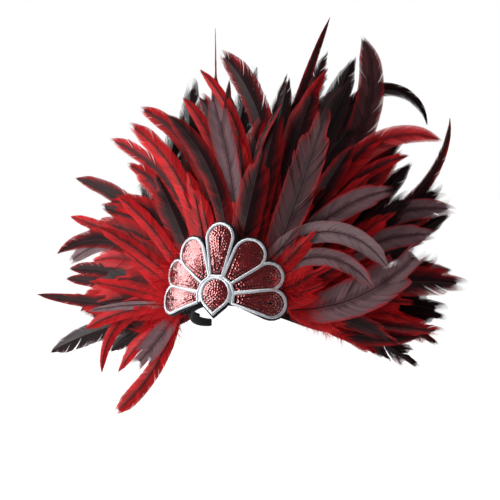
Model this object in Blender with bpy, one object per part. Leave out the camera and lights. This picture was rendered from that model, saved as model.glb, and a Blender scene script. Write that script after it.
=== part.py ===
"""Carnival feather headdress with a scalloped sequin applique.

Metres, +Z up. The front of the head looks along -Y and the wearer's left is +X.
The origin is the middle of the head opening, level with the applique's lower point.
"""

from collections import namedtuple
from math import asin, cos, pi, radians, sin

import bmesh
import bpy
from mathutils import Matrix, Vector

MM = 0.001

# Head band: a stiff covered band over the forehead, from behind one ear to the other.
HEAD_HALF_WIDTH = 80 * MM
HEAD_HALF_DEPTH = 97 * MM
BAND_WALL = 2.6 * MM
BAND_FRONT_HEIGHT = 13 * MM
BAND_END_HEIGHT = 9 * MM
BAND_RIM = -2.4 * MM
EAR_TURN = 1.6
BAND_DROP = 42 * MM
BAND_STEPS = 32
BAND_REACH = 102

# Feather rows: each row is a sewn strip with its feathers fused to it.
PIECE_GAP = 0.35 * MM
STRIP_THICK = 2.2 * MM
STRIP_HALF_TALL = 1.5 * MM
ROW_PITCH = 3.2 * MM
ROW_FRONT_UP = 27 * MM
STRIP_STEPS = 18
STRIP_OVERRUN = 3
CROWN_LEAN = 10
VANE_THICK = 1.3 * MM
VANE_CUP = 0.4
QUILL_WIDTH = 3.0 * MM
TIP_WIDTH = 1.8 * MM
FEATHER_SCALE = 1.0
FAN_UNEVEN = 0.15
CROWN_STRETCH = 0.07
CROWN_SWAY = -6
PATH_STEPS = 40
CURL_START = 0.62
FLATTEST = 0.7
LEAST_SHELL = (1 * MM) ** 3

# Applique: a fan of seven petals and a small arch, all growing from one focus.
APPLIQUE_RADIUS = 130 * MM
APPLIQUE_STAND_OFF = 25.1 * MM
APPLIQUE_TILT = 11
FOCUS_UP = 24 * MM
BACKING_THICK = 2.0 * MM
BORDER_THICK = 2.0 * MM
SEQUIN_THICK = 1.6 * MM
FELT_RIM = 2.0 * MM
BORDER_WIDTH = 3.6 * MM
ARCH_UP = 3 * MM
ARCH_RADIUS = 16 * MM
POINT_DOWN = 23 * MM
POINT_GROWTH = 1.4
PETAL_FOOT = 4 * MM
PETAL_FOOT_HALF = 2 * MM
ROUND_STEPS = 12
BEND_SLICES = 15

# lean: degrees back from upright. level: extra lean between neighbours in a row.
Row = namedtuple("Row", "name stand_off drop lean level")
ROWS = {
    "front": Row("plume_front_row", 3, 4.8 * MM, 5, 0.9),
    "second": Row("plume_second_row", 2, 3.2 * MM, 9, 0.7),
    "third": Row("plume_third_row", 1, 1.6 * MM, 13, 0.7),
    "rear": Row("plume_rear_row", 0, 0.0 * MM, 17, 2.0),
}

# root: degrees round the band from its front. aim: degrees from straight up, to the
# wearer's left. bend and curl: degrees that the feather and its end turn sideways.
Plume = namedtuple("Plume", "root aim length width bend curl tip")
PLUMES = {
    "front": (
        Plume(-62, -143, 146, 17, 30, 0, "round"),
        Plume(-58, -137, 82, 23, 5, 0, "round"),
        Plume(-60, -130, 112, 11, -25, 0, "point"),
        Plume(-56, -126, 130, 15, -105, 0, "spear"),
        Plume(-50, -103, 126, 14, -30, 0, "point"),
        Plume(-52, -88, 192, 15, 6, 0, "spear"),
        Plume(-48, -95, 118, 9, -15, 0, "point"),
        Plume(-44, -80, 120, 14, -10, 0, "point"),
        Plume(-33, -73, 185, 27, -75, -10, "spear"),
        Plume(-30, -56, 140, 15, -25, 0, "point"),
        Plume(-24, -42, 152, 16, -30, 0, "point"),
        Plume(-16, -27, 214, 20, -60, 0, "round"),
        Plume(4, -21, 216, 20, -62, 0, "point"),
        Plume(-10, -12, 142, 16, -20, 0, "point"),
        Plume(13, -10, 224, 24, -22, 0, "round"),
        Plume(10, 12, 168, 28, 8, 0, "point"),
        Plume(26, 21, 217, 36, -8, 0, "round"),
        Plume(36, 47, 197, 22, 70, 0, "round"),
        Plume(34, 60, 128, 16, 30, 0, "point"),
        Plume(44, 70, 184, 38, -50, 0, "round"),
        Plume(24, 76, 182, 20, 150, 0, "point"),
        Plume(27, 82, 158, 17, 130, 0, "point"),
        Plume(46, 84, 112, 15, 20, 0, "point"),
        Plume(58, 103, 125, 23, 35, 0, "round"),
    ),
    "second": (
        Plume(-71, -122, 105, 15, -20, 0, "point"),
        Plume(-67, -106, 197, 22, -18, 0, "point"),
        Plume(-47, -78, 165, 16, -30, 0, "point"),
        Plume(-38, -76, 168, 15, -100, 0, "round"),
        Plume(-33, -62, 192, 14, -30, 0, "point"),
        Plume(-29, -52, 218, 20, -50, 0, "point"),
        Plume(-16, -37, 218, 18, -65, 0, "round"),
        Plume(-12, -26, 236, 18, -80, 0, "round"),
        Plume(-6, -15, 236, 14, -65, 0, "point"),
        Plume(8, -13, 266, 13, -70, 0, "point"),
        Plume(4, -3, 250, 9, 8, 0, "point"),
        Plume(10, 5, 182, 22, 0, 0, "point"),
        Plume(18, 8, 202, 28, 10, 0, "round"),
        Plume(10, 12, 228, 15, 50, 0, "point"),
        Plume(34, 28, 205, 22, 15, 0, "round"),
        Plume(41, 36, 190, 18, 25, 0, "point"),
        Plume(43, 41, 238, 14, 80, 0, "point"),
        Plume(45, 34, 302, 21, 50, 62, "point"),
        Plume(54, 61, 197, 21, 65, 0, "round"),
        Plume(59, 79, 214, 27, 38, 0, "round"),
        Plume(63, 92, 145, 14, 45, 0, "point"),
        Plume(67, 98, 155, 19, -35, 0, "spear"),
        Plume(71, 118, 95, 14, 20, 0, "point"),
    ),
    "third": (
        Plume(-79, -112, 130, 16, -25, 0, "point"),
        Plume(-62, -94, 162, 15, -75, 0, "point"),
        Plume(-52, -83, 182, 14, -14, 0, "point"),
        Plume(-44, -77, 135, 16, -45, 0, "point"),
        Plume(-38, -63, 172, 15, 5, 0, "point"),
        Plume(-24, -56, 178, 17, -45, 0, "round"),
        Plume(-18, -28, 198, 13, -50, 0, "point"),
        Plume(-10, -18, 190, 12, -60, 0, "point"),
        Plume(-6, -15, 222, 12, -50, 0, "point"),
        Plume(5, -16, 240, 12, -60, 0, "point"),
        Plume(-2, -8, 264, 13, -5, 0, "point"),
        Plume(1, -9, 328, 7, 4, 0, "spear"),
        Plume(18, -12, 290, 25, -70, 0, "round"),
        Plume(18, 0, 230, 20, 0, 0, "point"),
        Plume(19, 6, 262, 22, 5, 0, "point"),
        Plume(26, 14, 280, 15, 35, 0, "point"),
        Plume(49, 22, 352, 27, 10, -55, "point"),
        Plume(28, 20, 282, 25, 10, 0, "point"),
        Plume(54, 31, 238, 19, 45, 0, "round"),
        Plume(48, 36, 232, 20, 20, 0, "point"),
        Plume(59, 53, 232, 20, 70, 15, "round"),
        Plume(56, 62, 186, 23, 40, 0, "point"),
        Plume(60, 66, 176, 17, 90, 25, "point"),
        Plume(76, 101, 165, 22, 55, 0, "point"),
    ),
    "rear": (
        Plume(-85, -108, 140, 18, -15, 0, "point"),
        Plume(-72, -82, 140, 18, -40, 0, "point"),
        Plume(-36, -58, 170, 18, -20, 0, "point"),
        Plume(-20, -39, 188, 11, -40, 0, "point"),
        Plume(-8, -19, 222, 17, -40, 0, "point"),
        Plume(8, -14, 304, 15, -75, 0, "point"),
        Plume(0, -6, 240, 20, -10, 0, "point"),
        Plume(14, 5, 270, 24, 20, 0, "point"),
        Plume(20, 11, 312, 28, 14, 0, "point"),
        Plume(26, 10, 352, 13, 18, 0, "spear"),
        Plume(28, 17, 312, 28, 8, 0, "point"),
        Plume(58, 4, 372, 16, -16, 190, "point"),
        Plume(60, 36, 225, 20, 15, 0, "point"),
        Plume(68, 43, 316, 16, 12, -55, "spear"),
        Plume(75, 52, 215, 20, 25, 0, "point"),
        Plume(76, 71, 190, 16, 50, 0, "point"),
        Plume(81, 88, 170, 20, 20, 0, "point"),
        Plume(85, 117, 142, 25, 28, 0, "point"),
        Plume(89, 121, 100, 13, 15, 0, "point"),
    ),
}

# Down: short tufts beside the applique, from its edge to the ears.
TUFT_COUNT = 5
TUFT_FIRST = 34
TUFT_LAST = 60
TUFT_AIM_RATIO = 1.9
TUFT_LENGTH = 50
TUFT_ALTERNATE = 8
TUFT_WIDTH = 14
TUFT_BEND = 8

# Share of the full width at each share of the length, by the kind of tip.
STATIONS = (0.0, 0.10, 0.28, 0.52, 0.76, 0.92, 1.0)
OUTLINES = {
    "point": (0.0, 0.36, 0.80, 1.0, 0.92, 0.50, 0.0),
    "round": (0.0, 0.34, 0.74, 0.94, 1.0, 0.84, 0.25),
    "spear": (0.0, 0.42, 0.92, 1.0, 0.70, 0.32, 0.0),
}

# Petals of the fan: angle from the top, distance from the focus to the cap's centre,
# radius of the cap, half width of the sequin field's inner end.
Petal = namedtuple("Petal", "name angle distance radius foot")
PETALS = (
    Petal("top", 0, 67 * MM, 20.0 * MM, 5.6 * MM),
    Petal("upper", 37, 61 * MM, 21.5 * MM, 4.4 * MM),
    Petal("mid", 67, 66 * MM, 19.0 * MM, 4.4 * MM),
    Petal("low", 94, 66 * MM, 19.5 * MM, 4.6 * MM),
)
FIELD_INNER = 24.5 * MM

Finish = namedtuple("Finish", "colour roughness sheen")
FINISHES = {
    "fabric_black": Finish((0.02, 0.02, 0.024), 0.9, 0.2),
    "felt_black": Finish((0.03, 0.03, 0.036), 0.95, 0.3),
    "embroidery_silver": Finish((0.62, 0.64, 0.68), 0.45, 0.3),
    "sequin_red": Finish((0.55, 0.02, 0.03), 0.2, 0.0),
    "feather_mixed": Finish((0.22, 0.02, 0.025), 0.65, 0.3),
    "feather_plum": Finish((0.12, 0.04, 0.05), 0.7, 0.3),
    "feather_black": Finish((0.03, 0.012, 0.015), 0.6, 0.3),
}
ROW_FINISH = {
    "front": "feather_mixed",
    "second": "feather_mixed",
    "third": "feather_plum",
    "rear": "feather_black",
}


def clear_scene():
    for old in list(bpy.data.objects):
        bpy.data.objects.remove(old, do_unlink=True)


def material(key):
    finish = FINISHES[key]
    made = bpy.data.materials.get(key) or bpy.data.materials.new(key)
    made.use_nodes = True
    shader = made.node_tree.nodes["Principled BSDF"]
    shader.inputs["Base Color"].default_value = (*finish.colour, 1)
    shader.inputs["Roughness"].default_value = finish.roughness
    shader.inputs["Sheen Weight"].default_value = finish.sheen
    return made


def object_from(mesh_tool, name, finish):
    mesh = bpy.data.meshes.new(name)
    bmesh.ops.recalc_face_normals(mesh_tool, faces=mesh_tool.faces)
    mesh_tool.to_mesh(mesh)
    mesh_tool.free()
    made = bpy.data.objects.new(name, mesh)
    mesh.materials.append(material(finish))
    bpy.context.scene.collection.objects.link(made)
    return made


def hide_helper(helper):
    helper.hide_render = True
    helper.display_type = "WIRE"


def boolean(target, other, operation, itself=False):
    step = target.modifiers.new(operation.lower(), "BOOLEAN")
    step.operation = operation
    step.solver = "EXACT"
    step.use_self = itself
    step.object = other
    hide_helper(other)


def evaluated_tool(made):
    """A mesh tool that holds the object with its modifiers applied and removed."""
    bpy.context.view_layer.update()
    graph = bpy.context.evaluated_depsgraph_get()
    tool = bmesh.new()
    tool.from_mesh(made.evaluated_get(graph).to_mesh())
    for step in list(made.modifiers):
        made.modifiers.remove(step)
    return tool


def shells_of(tool):
    """The faces of each separate shell."""
    waiting = set(tool.faces)
    while waiting:
        shell = [waiting.pop()]
        for face in shell:
            for edge in face.edges:
                for other in edge.link_faces:
                    if other in waiting:
                        waiting.remove(other)
                        shell.append(other)
        yield shell


def fill_hidden_voids(made):
    """Drops the voids and crumbs that crossing feathers leave inside the union."""
    tool = evaluated_tool(made)
    bmesh.ops.triangulate(tool, faces=tool.faces)
    for shell in list(shells_of(tool)):
        corners = [[vert.co for vert in face.verts] for face in shell]
        if sum(a.dot(b.cross(c)) for a, b, c in corners) / 6 < LEAST_SHELL:
            bmesh.ops.delete(tool, geom=shell, context="FACES")
    tool.to_mesh(made.data)
    tool.free()


def loft(mesh_tool, rings):
    """Faces between rings of points, with end caps."""
    made = [[mesh_tool.verts.new(point) for point in ring] for ring in rings]
    for first, second in zip(made, made[1:]):
        for k in range(len(first)):
            after = (k + 1) % len(first)
            mesh_tool.faces.new((first[k], first[after], second[after], second[k]))
    mesh_tool.faces.new(made[0][::-1])
    mesh_tool.faces.new(made[-1])


def row_height_at(angle):
    """The rows and the band's upper edge run down from the hairline to the ears."""
    return ROW_FRONT_UP - BAND_DROP * (1 - cos(min(pi, abs(angle) * EAR_TURN))) / 2


def ring_point(angle, outward, height):
    """A point round the head: angle 0 is the front, outward is from the inner face."""
    across = Vector((sin(angle) / HEAD_HALF_WIDTH, -cos(angle) / HEAD_HALF_DEPTH, 0))
    base = Vector((HEAD_HALF_WIDTH * sin(angle), -HEAD_HALF_DEPTH * cos(angle), height))
    return base + across.normalized() * outward


def make_band():
    rings = []
    for step in range(BAND_STEPS + 1):
        share = 2 * step / BAND_STEPS - 1
        angle = radians(BAND_REACH) * share
        top = row_height_at(angle) + BAND_RIM
        low = top - BAND_FRONT_HEIGHT + (BAND_FRONT_HEIGHT - BAND_END_HEIGHT) * share**4
        rings.append(
            (
                ring_point(angle, 0, low),
                ring_point(angle, BAND_WALL, low),
                ring_point(angle, BAND_WALL, top),
                ring_point(angle, 0, top),
            )
        )
    tool = bmesh.new()
    loft(tool, rings)
    object_from(tool, "head_band", "fabric_black")


def root_point(row, root_degrees):
    angle = radians(root_degrees)
    outward = BAND_WALL + PIECE_GAP + STRIP_THICK / 2 + row.stand_off * ROW_PITCH
    return ring_point(angle, outward, row_height_at(angle) - row.drop)


def make_strip(row, first, last):
    """The sewn strip that a row of feathers is fused to."""
    rings = []
    for step in range(STRIP_STEPS + 1):
        degrees = first + (last - first) * step / STRIP_STEPS
        middle = root_point(row, degrees)
        angle = radians(degrees)
        out = Vector((sin(angle) / HEAD_HALF_WIDTH, -cos(angle) / HEAD_HALF_DEPTH, 0)).normalized()
        out *= STRIP_THICK / 2
        up = Vector((0, 0, STRIP_HALF_TALL))
        rings.append((middle - out - up, middle + out - up, middle + out + up, middle - out + up))
    tool = bmesh.new()
    loft(tool, rings)
    return object_from(tool, row.name + "_strip", "fabric_black")


def settled(plume):
    """The feather as it hangs: the fan is fuller towards the wearer's right."""
    side = sin(radians(plume.aim))
    crown = max(0.0, cos(radians(plume.aim)))
    stretch = FEATHER_SCALE * (1 - FAN_UNEVEN * side + CROWN_STRETCH * crown)
    return plume._replace(aim=plume.aim + CROWN_SWAY * crown, length=plume.length * stretch)


def heading(plume, lean, share):
    """Direction and sideways vector of a feather at a share of its length."""
    end_share = max(0.0, (share - CURL_START) / (1 - CURL_START))
    aim = radians(plume.aim + plume.bend * (share - 0.5) + plume.curl * end_share)
    lean = radians(lean + CROWN_LEAN * max(0.0, cos(aim)))
    along = Vector((sin(aim) * cos(lean), sin(lean), cos(aim) * cos(lean)))
    return along, Vector((cos(aim), 0, -sin(aim)))


def add_feather(tool, row, plume, level):
    """One feather as a thin lens that follows a curved quill."""
    lean = row.lean + row.level * level
    plume = settled(plume)
    length = plume.length * MM
    chord = abs(radians(plume.bend)) / 2
    length *= chord / sin(chord) if chord > 0.05 else 1.0
    step_length = length / PATH_STEPS
    place = root_point(row, plume.root)
    path = [place.copy()]
    for step in range(PATH_STEPS):
        along, _ = heading(plume, lean, (step + 0.5) / PATH_STEPS)
        place += along * step_length
        path.append(place.copy())
    rings = []
    for share, outline in zip(STATIONS, OUTLINES[plume.tip]):
        along, side = heading(plume, lean, share)
        facing = side.cross(along)
        least = QUILL_WIDTH if share < 0.5 else TIP_WIDTH
        half = max(least, outline * plume.width * MM * FEATHER_SCALE) / 2
        thick = min(VANE_THICK / 2, half * FLATTEST)
        middle = path[round(share * PATH_STEPS)]
        edge = middle - facing * thick * VANE_CUP
        rings.append((edge - side * half, middle + facing * thick,
                      edge + side * half, middle - facing * thick))
    loft(tool, rings)


def tufts():
    made = []
    for k in range(TUFT_COUNT):
        root = TUFT_FIRST + (TUFT_LAST - TUFT_FIRST) * k / (TUFT_COUNT - 1)
        odd = 1 if k % 2 else -1
        length = TUFT_LENGTH + TUFT_ALTERNATE * odd
        aim = root * TUFT_AIM_RATIO
        for sign in (-1, 1):
            tuft = Plume(sign * root, sign * aim, length, TUFT_WIDTH, TUFT_BEND * odd, 0, "spear")
            made.append(tuft)
    return tuple(made)


def make_row(key):
    row = ROWS[key]
    plumes = PLUMES[key] + (tufts() if key == "front" else ())
    tool = bmesh.new()
    for k, plume in enumerate(plumes):
        add_feather(tool, row, plume, k % 3 - 1)
    feathers = object_from(tool, row.name, ROW_FINISH[key])
    roots = [plume.root for plume in plumes]
    strip = make_strip(row, min(roots) - STRIP_OVERRUN, max(roots) + STRIP_OVERRUN)
    boolean(feathers, strip, "UNION", itself=True)
    fill_hidden_voids(feathers)


def mirrored_petals():
    for petal in PETALS:
        sides = (("", 1),) if petal.angle == 0 else (("_left", 1), ("_right", -1))
        for suffix, sign in sides:
            yield petal, "sequins_" + petal.name + suffix, radians(petal.angle) * sign


def drop_shape(petal, angle, radius, inner, inner_half):
    """A round cap joined by straight sides to a blunt inner end."""
    axis = Vector((sin(angle), cos(angle)))
    side = Vector((axis.y, -axis.x))
    focus = Vector((0, FOCUS_UP))
    cap = focus + axis * petal.distance
    foot = focus + axis * inner
    slope = asin((radius - inner_half) / (petal.distance - inner))
    corners = [foot - side * inner_half, foot + side * inner_half]
    sweep = pi + 2 * slope
    for k in range(ROUND_STEPS + 1):
        turn = -slope + sweep * k / ROUND_STEPS
        corners.append(cap + (side * cos(turn) + axis * sin(turn)) * radius)
    return corners


def arch_shape(radius, point_down):
    """The small arch at the foot of the fan, with its point on the brow."""
    centre = Vector((0, FOCUS_UP + ARCH_UP))
    reach = point_down + ARCH_UP
    slope = asin(radius / reach)
    corners = [Vector((0, centre.y - reach))]
    for k in range(ROUND_STEPS + 1):
        turn = -slope + (pi + 2 * slope) * k / ROUND_STEPS
        corners.append(centre + Vector((cos(turn), sin(turn))) * radius)
    return corners


def prism(corners, low, high, name, finish):
    tool = bmesh.new()
    base = [tool.verts.new((point.x, low, point.y)) for point in corners]
    face = tool.faces.new(base)
    grown = bmesh.ops.extrude_face_region(tool, geom=[face])["geom"]
    moved = [part for part in grown if isinstance(part, bmesh.types.BMVert)]
    bmesh.ops.translate(tool, verts=moved, vec=(0, high - low, 0))
    return object_from(tool, name, finish)


def fan_prism(grow, low, high, name, finish):
    """The whole scalloped fan as one flat plate, its outline grown by a margin."""
    shapes = [arch_shape(ARCH_RADIUS + BORDER_WIDTH + grow, POINT_DOWN + grow * POINT_GROWTH)]
    for petal, _, angle in mirrored_petals():
        shapes.append(drop_shape(petal, angle, petal.radius - FELT_RIM + grow, PETAL_FOOT, PETAL_FOOT_HALF))
    plate = prism(shapes[0], low, high, name, finish)
    for k, shape in enumerate(shapes[1:]):
        boolean(plate, prism(shape, low, high, f"{name}_cut_{k}", finish), "UNION")
    return plate


def bend_onto_brow(flat):
    """Slices a flat plate and wraps it round the brow, leaning back."""
    tool = evaluated_tool(flat)
    reach = PETALS[-1].distance + PETALS[-1].radius + FELT_RIM * 2
    pitch = 2 * reach / BEND_SLICES
    for k in range(1, BEND_SLICES):
        cut = Vector((-reach + pitch * k, 0, 0))
        parts = tool.verts[:] + tool.edges[:] + tool.faces[:]
        bmesh.ops.bisect_plane(tool, geom=parts, dist=1e-7, plane_co=cut, plane_no=(1, 0, 0))
    bmesh.ops.triangulate(tool, faces=tool.faces)
    lean = Matrix.Rotation(radians(-APPLIQUE_TILT), 3, "X")
    for vert in tool.verts:
        radius = APPLIQUE_RADIUS - vert.co.y
        lower = -reach + pitch * int((vert.co.x + reach) / pitch)
        share = (vert.co.x - lower) / pitch
        first, second = lower / APPLIQUE_RADIUS, (lower + pitch) / APPLIQUE_RADIUS
        across = sin(first) * (1 - share) + sin(second) * share
        depth = cos(first) * (1 - share) + cos(second) * share
        bent = Vector((radius * across, APPLIQUE_RADIUS - radius * depth, vert.co.z))
        vert.co = lean @ bent + Vector((0, -HEAD_HALF_DEPTH - APPLIQUE_STAND_OFF, 0))
    bmesh.ops.recalc_face_normals(tool, faces=tool.faces)
    tool.to_mesh(flat.data)
    tool.free()


def make_applique():
    border_low = -BACKING_THICK - PIECE_GAP
    backing = fan_prism(FELT_RIM, 0, -BACKING_THICK, "applique_backing", "felt_black")
    border = fan_prism(0, border_low, border_low - BORDER_THICK, "applique_border", "embroidery_silver")
    plates = [backing, border]
    wide_low, wide_high = border_low + MM, border_low - BORDER_THICK - MM
    arch_down = POINT_DOWN - BORDER_WIDTH * POINT_GROWTH
    fields = [("sequins_arch", arch_shape(ARCH_RADIUS, arch_down),
               arch_shape(ARCH_RADIUS + PIECE_GAP, arch_down + PIECE_GAP * POINT_GROWTH))]
    for petal, name, angle in mirrored_petals():
        radius = petal.radius - FELT_RIM - BORDER_WIDTH
        fields.append((name, drop_shape(petal, angle, radius, FIELD_INNER, petal.foot),
                       drop_shape(petal, angle, radius + PIECE_GAP, FIELD_INNER - PIECE_GAP,
                                  petal.foot + PIECE_GAP)))
    for name, shape, window in fields:
        plates.append(prism(shape, border_low, border_low - SEQUIN_THICK, name, "sequin_red"))
        cutter = prism(window, wide_low, wide_high, name + "_window", "felt_black")
        boolean(border, cutter, "DIFFERENCE")
    for plate in plates:
        bend_onto_brow(plate)


def main():
    clear_scene()
    make_band()
    for key in ROWS:
        make_row(key)
    make_applique()


main()
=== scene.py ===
"""Looks of the carnival feather headdress.

Dyed feathers with separate barbs, fields of cup sequins, padded satin stitch,
felt and a covered band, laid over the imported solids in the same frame.
"""

from __future__ import annotations

import logging
import math
from dataclasses import dataclass
from enum import Enum

import bmesh
import bpy
import numpy as np
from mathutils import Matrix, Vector


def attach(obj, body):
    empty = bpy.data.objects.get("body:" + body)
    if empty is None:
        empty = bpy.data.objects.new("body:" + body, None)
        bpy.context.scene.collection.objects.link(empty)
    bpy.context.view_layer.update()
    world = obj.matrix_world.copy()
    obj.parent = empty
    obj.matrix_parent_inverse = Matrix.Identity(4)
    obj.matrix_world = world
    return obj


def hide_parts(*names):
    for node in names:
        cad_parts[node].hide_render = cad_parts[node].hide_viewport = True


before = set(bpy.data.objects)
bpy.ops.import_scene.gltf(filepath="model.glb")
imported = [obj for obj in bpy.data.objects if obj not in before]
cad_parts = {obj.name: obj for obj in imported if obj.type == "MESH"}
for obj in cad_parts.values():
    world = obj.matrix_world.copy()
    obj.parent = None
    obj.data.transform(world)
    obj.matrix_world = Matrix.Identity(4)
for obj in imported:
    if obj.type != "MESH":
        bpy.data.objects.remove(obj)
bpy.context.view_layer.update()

log = logging.getLogger("headdress")
MM = 0.001
SEED = 6723
WHITE = (1.0, 1.0, 1.0)
Colour = tuple[float, float, float]


class Tip(Enum):
    """Outline of a feather: share of its full width at each station."""

    POINT = (0.0, 0.46, 0.86, 1.06, 1.04, 0.78, 0.20)
    ROUND = (0.0, 0.44, 0.84, 1.02, 1.08, 1.0, 0.50)
    SPEAR = (0.0, 0.50, 0.98, 1.05, 0.78, 0.44, 0.06)


STATIONS = (0.0, 0.10, 0.28, 0.52, 0.76, 0.92, 1.0)


class Dye(Enum):
    """How a feather is dyed, and which of its faces is turned to the front."""

    SCARLET = "feather_scarlet"
    STRIPED = "feather_striped"
    EDGED = "feather_edged"
    ROSE = "feather_rose"
    PLUM = "feather_plum"
    WINE = "feather_wine"
    ASH = "feather_ash"
    BLACK = "feather_black"
    FRAYED = "feather_frayed"


class Row(Enum):
    """The four rows of feathers: node, slot, steps outward, drop, lean and level."""

    FRONT = ("plume_front_row", "feather_red", 3, 4.8 * MM, 5, 0.9)
    SECOND = ("plume_second_row", "feather_edged", 2, 3.2 * MM, 9, 0.7)
    THIRD = ("plume_third_row", "feather_plum", 1, 1.6 * MM, 13, 0.7)
    REAR = ("plume_rear_row", "feather_black", 0, 0.0, 17, 2.0)

    def __init__(self, node: str, slot: str, stand_off: int, drop: float, lean: float, level: float):
        self.node = node
        self.slot = slot
        self.stand_off = stand_off
        self.drop = drop
        self.lean = lean
        self.level = level


@dataclass(frozen=True)
class Plume:
    """One feather: angles in degrees, length and width in millimetres.

    Root is its place round the band and aim its angle from straight up, both towards
    the wearer's left. Bend and curl turn the feather and its end sideways.
    """

    root: float
    aim: float
    length: float
    width: float
    bend: float
    dye: Dye
    tip: Tip = Tip.POINT
    curl: float = 0


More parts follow.
